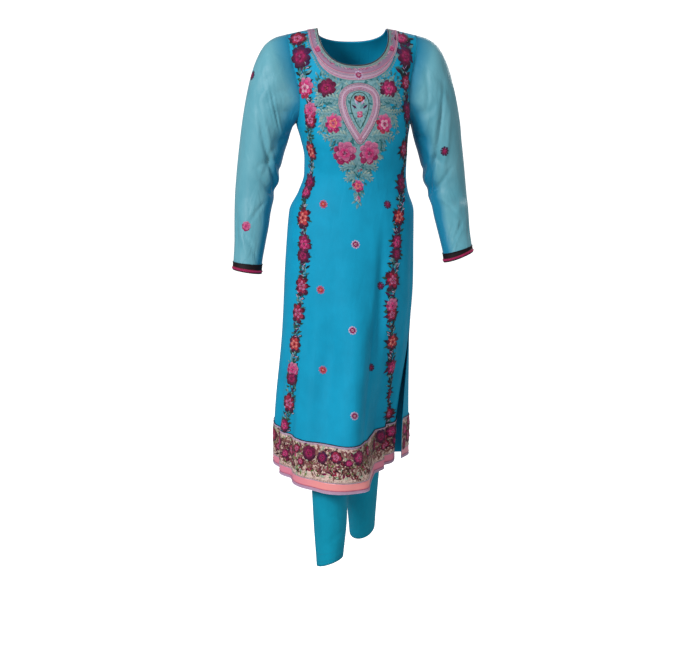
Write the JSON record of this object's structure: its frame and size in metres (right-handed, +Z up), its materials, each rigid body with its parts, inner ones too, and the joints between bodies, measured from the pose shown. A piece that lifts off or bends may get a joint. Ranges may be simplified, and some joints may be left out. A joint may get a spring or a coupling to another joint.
{
  "type": "salwar kameez suit",
  "caption": "Long fitted tunic with scoop neck, sheer sleeves, side slits and embroidered borders, worn over slim trousers, open inside as if on a wearer.",
  "frame": {"origin": "midway between the two shoulder seams at the neck, where the wearer's shoulders hold the tunic up", "axes": "+Z up along the body; -Y the way the wearer faces; +X towards the wearer's left hand"},
  "size_m": [0.5745, 0.3524, 1.301],
  "materials": {
    "turquoise_crepe": "matte crepe, plain turquoise",
    "sheer_georgette": "thin unlined georgette, slightly see-through",
    "neck_embroidery": "old-rose thread work with a dark edge",
    "floral_border": "magenta and crimson flowers with dark green leaves",
    "embroidered_net": "pale net under dense flowers",
    "coral_satin": "smooth coral satin",
    "maroon_braid": "dark maroon braid with a pink line"
  },
  "bodies": {
    "root": {"kameez_front": "turquoise_crepe", "kameez_back": "turquoise_crepe", "salwar_leg_right": "turquoise_crepe", "salwar_leg_left": "turquoise_crepe", "salwar_waistband": "turquoise_crepe", "sleeve_right": "sheer_georgette", "sleeve_left": "sheer_georgette", "neck_band_front": "neck_embroidery", "neck_band_back": "neck_embroidery", "side_border_right": "floral_border", "side_border_left": "floral_border", "hem_border_front": "embroidered_net", "hem_border_back": "embroidered_net", "hem_satin_front": "coral_satin", "hem_satin_back": "coral_satin", "cuff_right": "maroon_braid", "cuff_left": "maroon_braid"}
  },
  "joints": []
}
